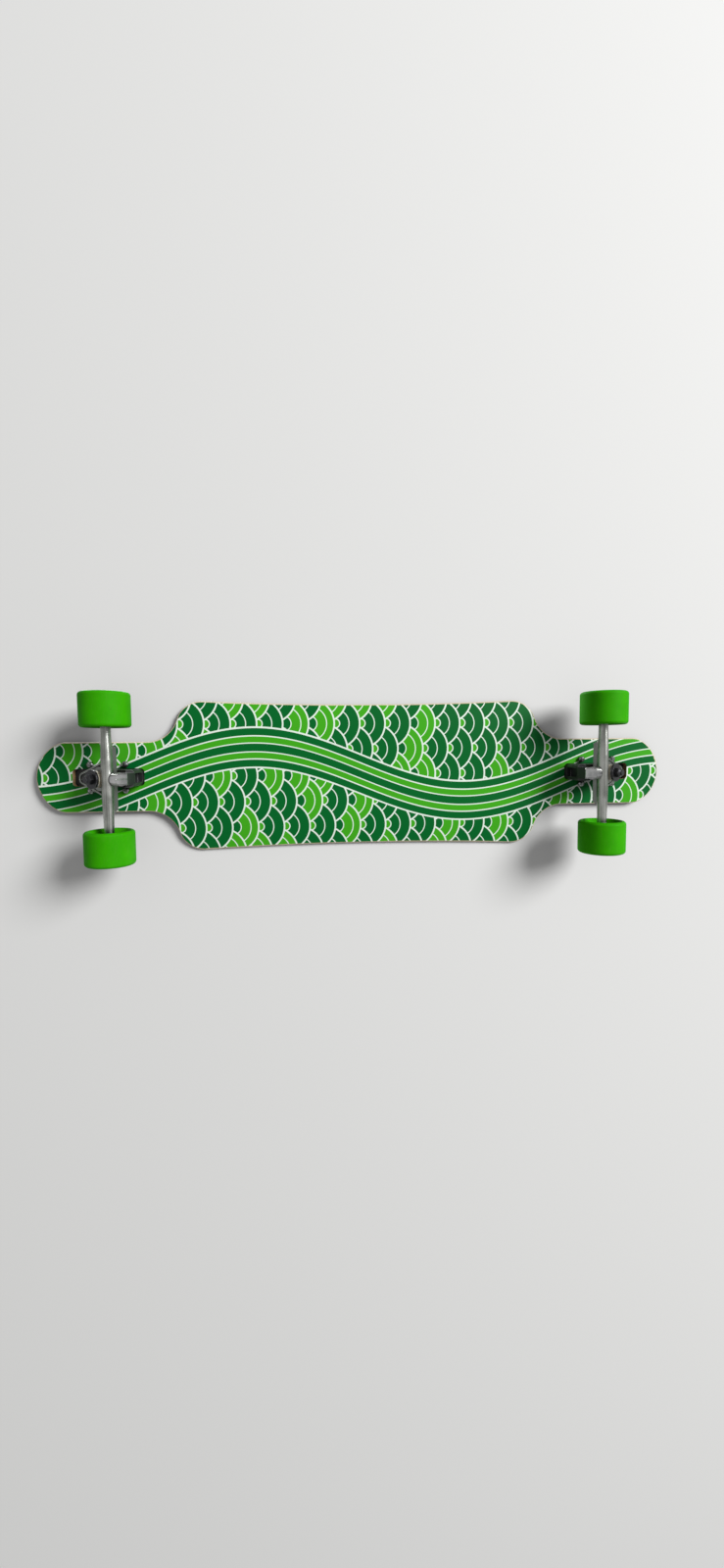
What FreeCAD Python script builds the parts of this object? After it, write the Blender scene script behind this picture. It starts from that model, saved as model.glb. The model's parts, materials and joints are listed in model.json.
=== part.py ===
import FreeCAD, Part
import math
import os
from FreeCAD import Placement, Rotation, Vector

# Drop-through longboard standing on its wheels: X along the deck, Y across, Z up, ground at Z = 0

# Deck outline
deck_length = 1030.0
platform_width = 242.0
waist_width = 230.0
neck_width = 112.0
platform_corner_x = 258.0
platform_corner_radius = 40.0
neck_bend_radius = 50.0
nose_tip_radius = 60.0
nose_corner_radius = 35.0

# Deck section: plies pressed flat along the middle, with edges that rise towards the rider
ply_thickness = 1.6
ply_count = 7
deck_flat_width = 92.0
concave_rise = 7.0
deck_edge_round = 2.4
grip_thickness = 0.8
grip_inset = 2.0
grip_flange_gap = 1.5

# Cut-out and bolts at each end of the deck
cutout_length = 111.0
cutout_width = 28.0
cutout_corner_radius = 6.0
cutout_offset = 20.0
bolt_pitch_long = 54.0
bolt_pitch_wide = 41.3
bolt_diameter = 4.8
bolt_hole_clearance = 0.3
bolt_head_diameter = 9.2
bolt_head_height = 2.8
bolt_socket_across = 3.2
bolt_socket_depth = 1.6
bolt_end = 2.0
bolt_nut_across = 9.5
bolt_nut_height = 6.0

# Where the trucks stand
axle_spacing = 768.0
axle_to_deck = 60.0

# Baseplate
flange_length = 130.0
flange_width = 58.0
flange_thickness = 6.0
flange_corner_radius = 12.0
flange_edge_round = 1.5
body_width = 26.6
tower_width = 18.0
body_inner_reach = 54.0
body_outer_reach = 32.0
body_outer_drop = 6.0
seat_reach = 16.0
tower_knee_height = 16.0
tower_head_diameter = 20.0
tower_head_length = 14.5
tower_pocket_width = 15.0
tower_pocket_depth = 7.0
tower_pocket_top = 6.0
tower_pocket_height = 36.0

# Pivot: the hanger turns about a line through the ring and the pivot ball
pivot_angle = 36.0
pivot_reach = 36.5
pivot_ball_diameter = 11.0
pivot_root_diameter = 15.0
pivot_clearance = 0.3
cup_diameter = 15.8
cup_floor = 2.0

# Hanger
hanger_width = 180.0
axle_setback = 20.5
axle_rake = 4.8
bar_diameter = 17.2
bar_end_diameter = 14.6
bar_full_width = 56.0
bar_taper_width = 136.0
bar_end_chamfer = 0.8
hanger_head_gap = 3.0
yoke_thickness = 9.0
yoke_root_width = 60.0
yoke_tip_reach = 52.0
yoke_tip_radius = 9.0
yoke_rim_width = 2.5
yoke_rim_height = 4.0
ring_diameter = 36.0
ring_bore = 19.0
web_width = 112.0
web_top_width = 94.0
web_height = 10.2
web_thickness = 5.0
web_ahead = 3.0

# Kingpin stack
kingpin_diameter = 9.5
kingpin_clearance = 0.2
kingpin_grip = 22.0
kingpin_head_diameter = 15.0
kingpin_head_height = 5.0
kingpin_end = 2.0
kingpin_nut_across = 14.3
kingpin_nut_height = 8.0
bushing_diameter = 26.0
bushing_end_diameter = 24.6
bushing_height = 14.0
bushing_seat_depth = 2.5
bushing_seat_clearance = 0.3
cup_washer_thickness = 2.0
cup_washer_lip = 1.6
cup_washer_wall = 1.2

# Axle
axle_diameter = 8.0
axle_end = 2.0
axle_end_chamfer = 0.8
axle_nut_across = 12.7
axle_nut_height = 7.0
speed_washer_thickness = 0.8
speed_washer_diameter = 13.0

# Ball bearings
bearing_diameter = 22.0
bearing_width = 7.0
bearing_gap = 10.0
race_inner_land = 12.0
race_outer_land = 18.0
ball_pitch_diameter = 15.0
ball_diameter = 3.97
ball_count = 7
groove_clearance = 0.07
shield_thickness = 0.4
shield_recess = 0.3
shield_gap = 0.25
cage_wall = 1.0
cage_width = 3.4
cage_offset = 0.7
cage_clearance = 0.1
spacer_diameter = 11.0

# Wheels
wheel_diameter = 72.0
wheel_width = 52.0
lip_radius = 5.0
mouth_diameter = 60.0
mouth_round = 1.6
core_diameter = 40.0
core_width = 27.0
core_seat_lip = 19.0
core_floor_chamfer = 1.5

# How far every cutting shape runs past what it cuts
overrun = 5.0

# Heights and places that follow from the sizes above
wheel_radius = wheel_diameter / 2
deck_thickness = ply_count * ply_thickness
deck_bottom_z = wheel_radius + axle_to_deck
deck_top_z = deck_bottom_z + deck_thickness
flange_seat = axle_to_deck + deck_thickness
axle_x = axle_spacing / 2
concave_run = (platform_width - deck_flat_width) / 2
concave_radius = (concave_run ** 2 + concave_rise ** 2) / (2 * concave_rise)
lean = math.radians(pivot_angle)
along = Vector(math.cos(lean), 0, math.sin(lean))
down = Vector(math.sin(lean), 0, -math.cos(lean))
ring_centre = along * axle_setback - down * axle_rake
stack = Placement(ring_centre, Rotation(along, Vector(0, -1, 0), down, "ZXY"))
bushing_start = yoke_thickness / 2 - bushing_seat_depth
bushing_stop = bushing_start + bushing_height
washer_stop = bushing_stop + cup_washer_thickness
nut_stop = washer_stop + kingpin_nut_height
head_face = axle_setback + bar_diameter / 2 + hanger_head_gap
bearing_start = hanger_width / 2 + speed_washer_thickness
bearing_stop = bearing_start + 2 * bearing_width + bearing_gap
wheel_middle = (bearing_start + bearing_stop) / 2
washer_end = bearing_stop + speed_washer_thickness
axle_nut_stop = washer_end + axle_nut_height
ends = {"front": 1, "rear": -1}
sides = {"left": 1, "right": -1}


def save(name, *solids):
    """Write one node; like pieces share a node as separate solids."""
    shape = solids[0] if len(solids) == 1 else Part.makeCompound(list(solids))
    shape.exportStep("parts/" + name + ".step")


def fuse(*shapes):
    return shapes[0].multiFuse(list(shapes[1:])).removeSplitter()


def stand(shape, end):
    """Turn a truck piece, drawn about its axle, to its end of the board."""
    placed = shape.copy()
    if end < 0:
        placed.rotate(Vector(), Vector(0, 0, 1), 180)
    placed.translate(Vector(end * axle_x, 0, wheel_radius))
    return placed


def rod(radius, start, stop, axis):
    """A plain cylinder along an axis through the origin."""
    return Part.makeCylinder(radius, stop - start, axis * start, axis)


def tube(radius, bore, start, stop, axis):
    outer = rod(radius, start, stop, axis)
    return outer.cut(rod(bore, start - overrun, stop + overrun, axis))


def hexagon(across, height):
    """A hexagonal prism on the XY plane."""
    corner = across / math.sqrt(3)
    points = [Vector(corner * math.cos(math.radians(60 * i)), corner * math.sin(math.radians(60 * i)), 0)
              for i in range(7)]
    return Part.Face(Part.makePolygon(points)).extrude(Vector(0, 0, height))


def lock_nut(across, height, bore):
    """A hexagonal nut with turned-off corners and a rounded locking collar."""
    corner = across / math.sqrt(3)
    bevel = corner - across / 2
    blank = hexagon(across, height)
    turned = fuse(Part.makeCone(corner - bevel, corner, bevel),
                  Part.makeCylinder(corner, height - 4 * bevel, Vector(0, 0, bevel)),
                  Part.makeCone(corner, corner - 3 * bevel, 3 * bevel, Vector(0, 0, height - 3 * bevel)))
    return blank.common(turned).cut(rod(bore, -overrun, height + overrun, Vector(0, 0, 1)))


def is_upright(edge):
    tangent = edge.tangentAt(edge.FirstParameter)
    return abs(tangent.z) > abs(tangent.x) + abs(tangent.y)


def rounded_plate(length, width, radius, low, high, centre_x):
    """A flat plate with rounded corners, centred on the X axis at centre_x."""
    block = Part.makeBox(length, width, high - low, Vector(centre_x - length / 2, -width / 2, low))
    return block.makeFillet(radius, [edge for edge in block.Edges if is_upright(edge)])


def arc(centre, start, stop):
    """An arc of less than half a circle about a centre."""
    middle = (start - centre) + (stop - centre)
    middle.normalize()
    return Part.Arc(start, centre + middle * (start - centre).Length, stop).toShape()


def lathe(points, axis):
    """A closed outline of (radius, place along the axis) points, turned about the axis."""
    across = Vector(0, 1, 0) if abs(axis.y) < abs(axis.x) + abs(axis.z) else Vector(1, 0, 0)
    corners = [across * r + axis * s for r, s in points]
    face = Part.Face(Part.makePolygon(corners + corners[:1]))
    return face.revolve(Vector(), axis, 360)


# Deck
def deck_outline():
    """The board's plan: round nose, narrow neck, and a platform with a slight waist."""
    neck = neck_width / 2
    edge = platform_width / 2
    waist = waist_width / 2
    tip = Vector(deck_length / 2, 0, 0)
    tip_centre = Vector(deck_length / 2 - nose_tip_radius, 0, 0)
    corner_rise = neck - nose_corner_radius
    corner_run = math.sqrt((nose_tip_radius - nose_corner_radius) ** 2 - corner_rise ** 2)
    nose_centre = tip_centre + Vector(corner_run, corner_rise, 0)
    nose_share = nose_tip_radius / (nose_tip_radius - nose_corner_radius)
    nose_join = tip_centre + (nose_centre - tip_centre) * nose_share
    nose_end = nose_centre + Vector(0, nose_corner_radius, 0)
    corner_centre = Vector(platform_corner_x, edge - platform_corner_radius, 0)
    bend_rise = neck + neck_bend_radius - corner_centre.y
    bend_reach = platform_corner_radius + neck_bend_radius
    bend_centre = corner_centre + Vector(math.sqrt(bend_reach ** 2 - bend_rise ** 2), bend_rise, 0)
    bend_end = bend_centre - Vector(0, neck_bend_radius, 0)
    bend_join = corner_centre + (bend_centre - corner_centre) * (platform_corner_radius / bend_reach)
    drop = waist - corner_centre.y
    waist_radius = ((platform_corner_x ** 2 + drop ** 2 - platform_corner_radius ** 2)
                    / (2 * (platform_corner_radius - drop)))
    waist_centre = Vector(0, waist + waist_radius, 0)
    waist_share = waist_radius / (waist_radius + platform_corner_radius)
    waist_join = waist_centre + (corner_centre - waist_centre) * waist_share
    middle = Vector(0, waist, 0)
    quarter = [arc(tip_centre, tip, nose_join),
               arc(nose_centre, nose_join, nose_end),
               Part.makeLine(nose_end, bend_end),
               arc(bend_centre, bend_end, bend_join),
               arc(corner_centre, bend_join, waist_join),
               arc(waist_centre, waist_join, middle)]
    half = quarter + [e.mirror(Vector(), Vector(1, 0, 0)) for e in reversed(quarter)]
    whole = half + [e.mirror(Vector(), Vector(0, 1, 0)) for e in reversed(half)]
    return Part.Wire(Part.__sortEdges__(whole))


def deck_layer(low, high):
    """A slab of the pressed section, from depth low to depth high under the deck's top face."""
    flat = deck_flat_width / 2
    reach = math.asin(concave_run / concave_radius) + overrun / concave_radius
    right = Vector(0, flat, deck_top_z + concave_radius)
    left = Vector(0, -flat, deck_top_z + concave_radius)

    def at(centre, depth, turn):
        radius = concave_radius + depth
        return centre + Vector(0, radius * math.sin(turn), -radius * math.cos(turn))

    edges = [arc(left, at(left, low, -reach), at(left, low, 0)),
             Part.makeLine(at(left, low, 0), at(right, low, 0)),
             arc(right, at(right, low, 0), at(right, low, reach)),
             Part.makeLine(at(right, low, reach), at(right, high, reach)),
             arc(right, at(right, high, reach), at(right, high, 0)),
             Part.makeLine(at(right, high, 0), at(left, high, 0)),
             arc(left, at(left, high, 0), at(left, high, -reach)),
             Part.makeLine(at(left, high, -reach), at(left, low, -reach))]
    section = Part.Face(Part.Wire(edges))
    section.translate(Vector(-deck_length / 2 - overrun, 0, 0))
    return section.extrude(Vector(deck_length + 2 * overrun, 0, 0))


def prism(wire):
    """The outline taken straight up through the whole deck."""
    face = Part.Face(wire)
    face.translate(Vector(0, 0, deck_bottom_z - overrun))
    return face.extrude(Vector(0, 0, deck_thickness + concave_rise + 3 * overrun))


def bolt_places(end):
    """Where the four bolts of one truck stand, seen from above."""
    middle = end * (axle_x + cutout_offset)
    return [Vector(middle + sx * bolt_pitch_long / 2, sy * bolt_pitch_wide / 2, 0)
            for sx in (-1, 1) for sy in (-1, 1)]


def deck_openings():
    """The cut-outs that the baseplates drop through, and the bolt holes beside them."""
    low = deck_bottom_z - overrun
    high = deck_top_z + concave_rise + overrun
    cuts = []
    for end in ends.values():
        cuts.append(rounded_plate(cutout_length, cutout_width, cutout_corner_radius, low, high,
                                  end * (axle_x + cutout_offset)))
        for place in bolt_places(end):
            hole = rod(bolt_diameter / 2 + bolt_hole_clearance, low, high, Vector(0, 0, 1))
            hole.translate(place)
            cuts.append(hole)
    return cuts


def make_deck():
    outline = deck_outline()
    blank = deck_layer(0, deck_thickness).common(prism(outline))
    sides_of_deck = [face for face in blank.Faces if any(is_upright(edge) for edge in face.Edges)]
    rim = [edge for face in sides_of_deck for edge in face.Edges if not is_upright(edge)]
    blank = blank.makeFillet(deck_edge_round, rim)
    blank = blank.cut(deck_openings())
    core_stop = deck_thickness - ply_thickness
    save("deck_top_veneer", blank.common(deck_layer(-overrun, ply_thickness)))
    save("deck_core", blank.common(deck_layer(ply_thickness, core_stop)))
    save("deck_bottom_veneer", blank.common(deck_layer(core_stop, deck_thickness + overrun)))
    inner = outline.makeOffset2D(-deck_edge_round - grip_inset)
    flanges = [rounded_plate(flange_length + 2 * grip_flange_gap, flange_width + 2 * grip_flange_gap,
                             flange_corner_radius + grip_flange_gap,
                             deck_top_z - overrun, deck_top_z + overrun, end * (axle_x + cutout_offset))
               for end in ends.values()]
    save("grip_tape", deck_layer(-grip_thickness, 0).common(prism(inner)).cut(flanges))


# Baseplate and what is fixed to it
def make_baseplate():
    """Cast flange, slotted body and pivot tower, drawn with the axle at the origin."""
    up = Vector(0, 0, 1)
    flange = rounded_plate(flange_length, flange_width, flange_corner_radius, flange_seat,
                           flange_seat + flange_thickness, cutout_offset)
    top = [e for e in flange.Edges if abs(e.BoundBox.ZMin - flange.BoundBox.ZMax) < flange_edge_round / 2]
    flange = flange.makeFillet(flange_edge_round, top)
    seat = -washer_stop
    tower_back = -head_face - tower_head_length
    shoulder = -tower_head_diameter / 2

    def inclined(x, z):
        return ring_centre + along * x + down * z

    inner = cutout_offset - body_inner_reach
    outer = cutout_offset + body_outer_reach
    body = [inclined(-head_face, seat), inclined(seat_reach, seat),
            Vector(outer, 0, axle_to_deck - body_outer_drop), Vector(outer, 0, flange_seat),
            Vector(inner, 0, flange_seat), Vector(inner, 0, tower_knee_height)]
    body = Part.Face(Part.makePolygon(body + body[:1]))
    body.translate(Vector(0, -body_width / 2, 0))
    body = body.extrude(Vector(0, body_width, 0))
    body = body.makeFillet(cutout_corner_radius, [edge for edge in body.Edges if is_upright(edge)])
    tower = [inclined(-head_face, seat), Vector(inner, 0, tower_knee_height), inclined(tower_back, shoulder),
             inclined(tower_back, 0), inclined(-head_face, 0)]
    tower = Part.Face(Part.makePolygon(tower + tower[:1]))
    tower.translate(Vector(0, -tower_width / 2, 0))
    tower = tower.extrude(Vector(0, tower_width, 0))
    head = Part.makeCylinder(tower_head_diameter / 2, tower_head_length, inclined(-head_face, 0), along * -1)
    whole = fuse(flange, body, tower, head)
    cup = Part.makeCylinder(cup_diameter / 2, cup_length(), inclined(-head_face, 0), along * -1)
    shaft = Part.makeCylinder(kingpin_diameter / 2, kingpin_grip + 2 * overrun,
                              inclined(0, seat + overrun), down * -1)
    well = Part.makeCylinder(kingpin_head_diameter / 2 + kingpin_clearance, flange_length,
                             inclined(0, seat - kingpin_grip), down * -1)
    pocket = Part.makeBox(tower_pocket_depth + overrun, tower_pocket_width, tower_pocket_height,
                          Vector(inner - overrun, -tower_pocket_width / 2,
                                 axle_to_deck - tower_pocket_top - tower_pocket_height))
    holes = []
    for place in bolt_places(1):
        hole = rod(bolt_diameter / 2 + bolt_hole_clearance, 0, flange_seat + 2 * flange_thickness, up)
        hole.translate(place - Vector(axle_x, 0, 0))
        holes.append(hole)
    return whole.cut([cup, shaft, well, pocket] + holes)


def cup_length():
    return pivot_reach - head_face + pivot_ball_diameter / 2 + pivot_clearance + cup_floor


def make_pivot_cup():
    """A soft cup that holds the hanger's pivot ball, drawn along the pivot line."""
    axis = Vector(-1, 0, 0)
    bore = pivot_ball_diameter / 2 + pivot_clearance
    shell = rod(cup_diameter / 2, head_face, head_face + cup_length(), axis)
    hollow = fuse(rod(bore, head_face - overrun, pivot_reach, axis),
                  Part.makeSphere(bore, axis * pivot_reach))
    return shell.cut(hollow)


def make_kingpin():
    axis = Vector(0, 0, 1)
    shoulder = -washer_stop - kingpin_grip
    shank = rod(kingpin_diameter / 2, shoulder, nut_stop + kingpin_end, axis)
    return fuse(shank, rod(kingpin_head_diameter / 2, shoulder - kingpin_head_height, shoulder, axis))


def make_kingpin_nut():
    nut = lock_nut(kingpin_nut_across, kingpin_nut_height, kingpin_diameter / 2)
    nut.translate(Vector(0, 0, washer_stop))
    return nut


def make_bushing(sign):
    """A barrel of cast urethane between the ring's seat and a cup washer."""
    end_radius = bushing_end_diameter / 2
    bulge = Vector(bushing_diameter / 2, 0, (bushing_start + bushing_stop) / 2)
    low = Vector(end_radius, 0, bushing_start)
    high = Vector(end_radius, 0, bushing_stop)
    bore = Vector(kingpin_diameter / 2 + kingpin_clearance, 0, 0)
    inner_low = Vector(bore.x, 0, low.z)
    inner_high = Vector(bore.x, 0, high.z)
    edges = [Part.Arc(low, bulge, high).toShape(), Part.makeLine(high, inner_high),
             Part.makeLine(inner_high, inner_low), Part.makeLine(inner_low, low)]
    barrel = Part.Face(Part.Wire(edges)).revolve(Vector(), Vector(0, 0, 1), 360)
    if sign < 0:
        barrel.rotate(Vector(), Vector(1, 0, 0), 180)
    return barrel


def make_cup_washer(sign):
    """A pressed steel cup over the outer end of a bushing."""
    hole = kingpin_diameter / 2 + kingpin_clearance
    mouth = bushing_diameter / 2 + bushing_seat_clearance
    rim = mouth + cup_washer_wall
    washer = lathe([(hole, washer_stop), (rim, washer_stop), (rim, bushing_stop - cup_washer_lip),
                    (mouth, bushing_stop - cup_washer_lip), (mouth, bushing_stop), (hole, bushing_stop)],
                   Vector(0, 0, 1))
    if sign < 0:
        washer.rotate(Vector(), Vector(1, 0, 0), 180)
    return washer


def make_bolts(end):
    """Pan-head bolts from the flange down through the deck, with hexagonal sockets."""
    top = wheel_radius + flange_seat + flange_thickness
    foot = deck_bottom_z - bolt_nut_height - bolt_end
    bolts = []
    for place in bolt_places(end):
        shank = rod(bolt_diameter / 2, foot, top, Vector(0, 0, 1))
        head = Part.makeCylinder(bolt_head_diameter / 2, bolt_head_height, Vector(0, 0, top))
        crown = [e for e in head.Edges if e.BoundBox.ZMin > top + bolt_head_height / 2]
        head = head.makeFillet(bolt_head_height / 2, crown)
        socket = hexagon(bolt_socket_across, bolt_head_height)
        socket.translate(Vector(0, 0, top + bolt_head_height - bolt_socket_depth))
        bolt = fuse(shank, head).cut(socket)
        bolt.translate(place)
        bolts.append(bolt)
    return bolts


def make_bolt_nuts(end):
    nuts = []
    for place in bolt_places(end):
        nut = lock_nut(bolt_nut_across, bolt_nut_height, bolt_diameter / 2)
        nut.rotate(Vector(), Vector(1, 0, 0), 180)
        nut.translate(place + Vector(0, 0, deck_bottom_z))
        nuts.append(nut)
    return nuts


# Hanger and what turns with it, drawn about the ring: X along the pivot line, Z down the kingpin
def yoke_outline(inset):
    """A wedge with a round tip, from the axle bar out past the ring."""
    radius = yoke_tip_radius - inset
    tip_centre = Vector(yoke_tip_reach - yoke_tip_radius, 0, 0)
    root = yoke_root_width / 2 - inset
    reach = tip_centre.x + axle_setback
    angle = math.atan2(root, reach) - math.asin(radius / math.hypot(root, reach))
    touch = tip_centre + Vector(radius * math.sin(angle), radius * math.cos(angle), 0)
    start = Vector(-axle_setback, root, 0)
    mirrored = Vector(touch.x, -touch.y, 0)
    base = Vector(-axle_setback, -root, 0)
    tip = tip_centre + Vector(radius, 0, 0)
    return Part.Face(Part.Wire([Part.makeLine(start, touch), Part.Arc(touch, tip, mirrored).toShape(),
                                Part.makeLine(mirrored, base), Part.makeLine(base, start)]))


def make_hanger():
    axis = Vector(0, 0, 1)
    half = hanger_width / 2
    thin = bar_end_diameter / 2
    thick = bar_diameter / 2
    bar = lathe([(0, -half), (thin - bar_end_chamfer, -half), (thin, bar_end_chamfer - half),
                 (thin, -bar_taper_width / 2), (thick, -bar_full_width / 2),
                 (thick, bar_full_width / 2), (thin, bar_taper_width / 2),
                 (thin, half - bar_end_chamfer), (thin - bar_end_chamfer, half), (0, half)], Vector(0, 1, 0))
    bar.translate(Vector(-axle_setback, 0, axle_rake))
    yoke = yoke_outline(0).extrude(axis * yoke_thickness)
    yoke.translate(axis * (-yoke_thickness / 2))
    hollow = yoke_outline(yoke_rim_width).extrude(axis * yoke_rim_height)
    hollow.translate(axis * (yoke_thickness / 2 - yoke_rim_height))
    ring = rod(ring_diameter / 2, -yoke_thickness / 2, yoke_thickness / 2, axis)
    web_rise = -web_height
    web = [Vector(0, -web_width / 2, axle_rake), Vector(0, web_width / 2, axle_rake),
           Vector(0, web_top_width / 2, web_rise), Vector(0, -web_top_width / 2, web_rise)]
    web = Part.Face(Part.makePolygon(web + web[:1])).extrude(Vector(web_thickness, 0, 0))
    web.translate(Vector(-axle_setback + web_ahead - web_thickness, 0, 0))
    inboard = Vector(-1, 0, 0)
    nose_root = rod(pivot_root_diameter / 2, 0, axle_setback + bar_diameter / 2, inboard)
    nose_root = nose_root.cut(rod(ring_diameter / 2, -pivot_root_diameter, pivot_root_diameter, axis))
    nose = rod(pivot_ball_diameter / 2, axle_setback, pivot_reach, inboard)
    ball = Part.makeSphere(pivot_ball_diameter / 2, inboard * pivot_reach)
    hanger = fuse(bar, fuse(yoke.cut(hollow), ring), web, nose_root, nose, ball)
    seat_radius = bushing_diameter / 2 + bushing_seat_clearance
    bore = rod(axle_diameter / 2, -hanger_width, hanger_width, Vector(0, 1, 0))
    bore.translate(Vector(-axle_setback, 0, axle_rake))
    return hanger.cut([rod(ring_bore / 2, -yoke_thickness, yoke_thickness, axis),
                       rod(seat_radius, bushing_start, yoke_thickness, axis),
                       rod(seat_radius, -yoke_thickness, -bushing_start, axis), bore])


# Axle line pieces, drawn about the axle
def make_axle():
    tip = axle_nut_stop + axle_end
    radius = axle_diameter / 2
    flat = radius - axle_end_chamfer
    shoulder = tip - axle_end_chamfer
    return lathe([(0, -tip), (flat, -tip), (radius, -shoulder), (radius, shoulder), (flat, tip), (0, tip)],
                 Vector(0, 1, 0))


def make_axle_nut(side):
    nut = lock_nut(axle_nut_across, axle_nut_height, axle_diameter / 2)
    nut.rotate(Vector(), Vector(1, 0, 0), -90 * side)
    nut.translate(Vector(0, side * washer_end, 0))
    return nut


def make_speed_washers(side):
    axis = Vector(0, side, 0)
    return [tube(speed_washer_diameter / 2, axle_diameter / 2, start, start + speed_washer_thickness, axis)
            for start in (hanger_width / 2, bearing_stop)]


def make_spacer(side):
    start = bearing_start + bearing_width
    return tube(spacer_diameter / 2, axle_diameter / 2, start, start + bearing_gap, Vector(0, side, 0))


def bearing_middles():
    return [bearing_start + bearing_width / 2, bearing_stop - bearing_width / 2]


def groove(middle, side):
    """The ring-shaped channel that the balls run in."""
    return Part.makeTorus(ball_pitch_diameter / 2, ball_diameter / 2 + groove_clearance,
                          Vector(0, side * middle, 0), Vector(0, 1, 0))


def make_races(side, radius, bore):
    races = []
    for middle in bearing_middles():
        race = tube(radius, bore, middle - bearing_width / 2, middle + bearing_width / 2, Vector(0, side, 0))
        races.append(race.cut(groove(middle, side)))
    return races


def make_shields(side):
    """Thin steel rings that close both faces of each bearing."""
    outset = bearing_width / 2 - shield_recess
    shields = []
    for middle in bearing_middles():
        for start in (middle - outset, middle + outset - shield_thickness):
            shields.append(tube(race_outer_land / 2, race_inner_land / 2 + shield_gap, start,
                                start + shield_thickness, Vector(0, side, 0)))
    return shields


def ball_places(middle, side):
    radius = ball_pitch_diameter / 2
    turns = [2 * math.pi * i / ball_count for i in range(ball_count)]
    return [Vector(radius * math.cos(turn), side * middle, radius * math.sin(turn)) for turn in turns]


def make_balls(side):
    return [Part.makeSphere(ball_diameter / 2, place)
            for middle in bearing_middles() for place in ball_places(middle, side)]


def make_cages(side):
    """Crown-shaped rings with an open pocket for each ball."""
    cages = []
    for middle in bearing_middles():
        low = middle + cage_offset - cage_width / 2
        ring = tube((ball_pitch_diameter + cage_wall) / 2, (ball_pitch_diameter - cage_wall) / 2,
                    low, low + cage_width, Vector(0, side, 0))
        hub = Vector(0, side * middle, 0)
        pocket_radius = ball_diameter / 2 + cage_clearance
        pockets = [Part.makeCylinder(pocket_radius, ball_pitch_diameter, hub, place - hub)
                   for place in ball_places(middle, side)]
        cages.append(ring.cut(pockets))
    return cages


def make_tyre():
    """Cast urethane with rounded lips and a hollow on each face, turned about Y at the origin."""
    radius = wheel_radius
    half = wheel_width / 2
    core = core_diameter / 2
    core_half = core_width / 2
    mouth = mouth_diameter / 2
    quarter_turn = math.sqrt(2) / 2
    edges = []
    for s in (1, -1):
        tread = Vector(radius, s * (half - lip_radius), 0)
        face = Vector(radius - lip_radius, s * half, 0)
        bend = Vector(radius - lip_radius + lip_radius * quarter_turn,
                      s * (half - lip_radius + lip_radius * quarter_turn), 0)
        rim = Vector(mouth, s * half, 0)
        floor = Vector(core, s * core_half, 0)
        edges += [Part.Arc(tread, bend, face).toShape(), Part.makeLine(face, rim), Part.makeLine(rim, floor)]
    edges.append(Part.makeLine(Vector(radius, half - lip_radius, 0), Vector(radius, lip_radius - half, 0)))
    edges.append(Part.makeLine(Vector(core, core_half, 0), Vector(core, -core_half, 0)))
    face = Part.Face(Part.Wire(Part.__sortEdges__(edges)))
    tyre = face.revolve(Vector(), Vector(0, 1, 0), 360)
    mouths = [edge for edge in tyre.Edges if isinstance(edge.Curve, Part.Circle)
              and abs(edge.Curve.Radius - mouth) < mouth_round / 2 and abs(edge.Curve.Axis.y) > quarter_turn]
    return tyre.makeFillet(mouth_round, mouths)


def make_core():
    """A stiff hub with a seat for a bearing in each side and a stop between them."""
    seat = bearing_diameter / 2
    stop = core_seat_lip / 2
    gap = bearing_gap / 2
    outer = core_diameter / 2
    half = core_width / 2
    bevel = core_floor_chamfer
    return lathe([(outer, -half), (outer, half), (seat + bevel, half), (seat, half - bevel), (seat, gap),
                  (stop, gap), (stop, -gap), (seat, -gap), (seat, bevel - half), (seat + bevel, -half)],
                 Vector(0, 1, 0))


def make_truck(name, end):
    def turned(shape):
        leaning = shape.copy()
        leaning.Placement = stack.multiply(leaning.Placement)
        return stand(leaning, end)

    save(name + "_baseplate", stand(make_baseplate(), end))
    save(name + "_pivot_cup", turned(make_pivot_cup()))
    save(name + "_kingpin", turned(make_kingpin()))
    save(name + "_kingpin_nut", turned(make_kingpin_nut()))
    save(name + "_boardside_bushing", turned(make_bushing(-1)))
    save(name + "_roadside_bushing", turned(make_bushing(1)))
    save(name + "_cup_washers", *[turned(make_cup_washer(sign)) for sign in (-1, 1)])
    save(name + "_mounting_bolts", *make_bolts(end))
    save(name + "_mounting_nuts", *make_bolt_nuts(end))
    save(name + "_hanger", turned(make_hanger()))
    save(name + "_axle", stand(make_axle(), end))
    save(name + "_axle_nuts", *[stand(make_axle_nut(side), end) for side in sides.values()])
    save(name + "_speed_washers", *[stand(washer, end) for side in sides.values()
                                    for washer in make_speed_washers(side)])
    save(name + "_bearing_spacers", *[stand(make_spacer(side), end) for side in sides.values()])
    save(name + "_inner_races", *[stand(race, end) for side in sides.values()
                                  for race in make_races(side, race_inner_land / 2, axle_diameter / 2)])


def make_wheel(name, end, side):
    def placed(shapes):
        moved = [shape.copy() for shape in shapes]
        for shape in moved:
            shape.translate(Vector(end * axle_x, 0, wheel_radius))
        return moved

    def centred(shape):
        shape.translate(Vector(end * axle_x, side * wheel_middle, wheel_radius))
        return shape

    save(name + "_tyre", centred(make_tyre()))
    save(name + "_core", centred(make_core()))
    save(name + "_outer_races", *placed(make_races(side, bearing_diameter / 2, race_outer_land / 2)))
    save(name + "_shields", *placed(make_shields(side)))
    save(name + "_balls", *placed(make_balls(side)))
    save(name + "_cages", *placed(make_cages(side)))


os.makedirs("parts", exist_ok=True)
make_deck()
for end_name, end in ends.items():
    make_truck(end_name + "_truck", end)
    for side_name, side in sides.items():
        make_wheel(end_name + "_" + side_name + "_wheel", end, side)
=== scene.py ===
import json
import math

import bmesh
import bpy
from mathutils import Matrix, Vector

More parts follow.
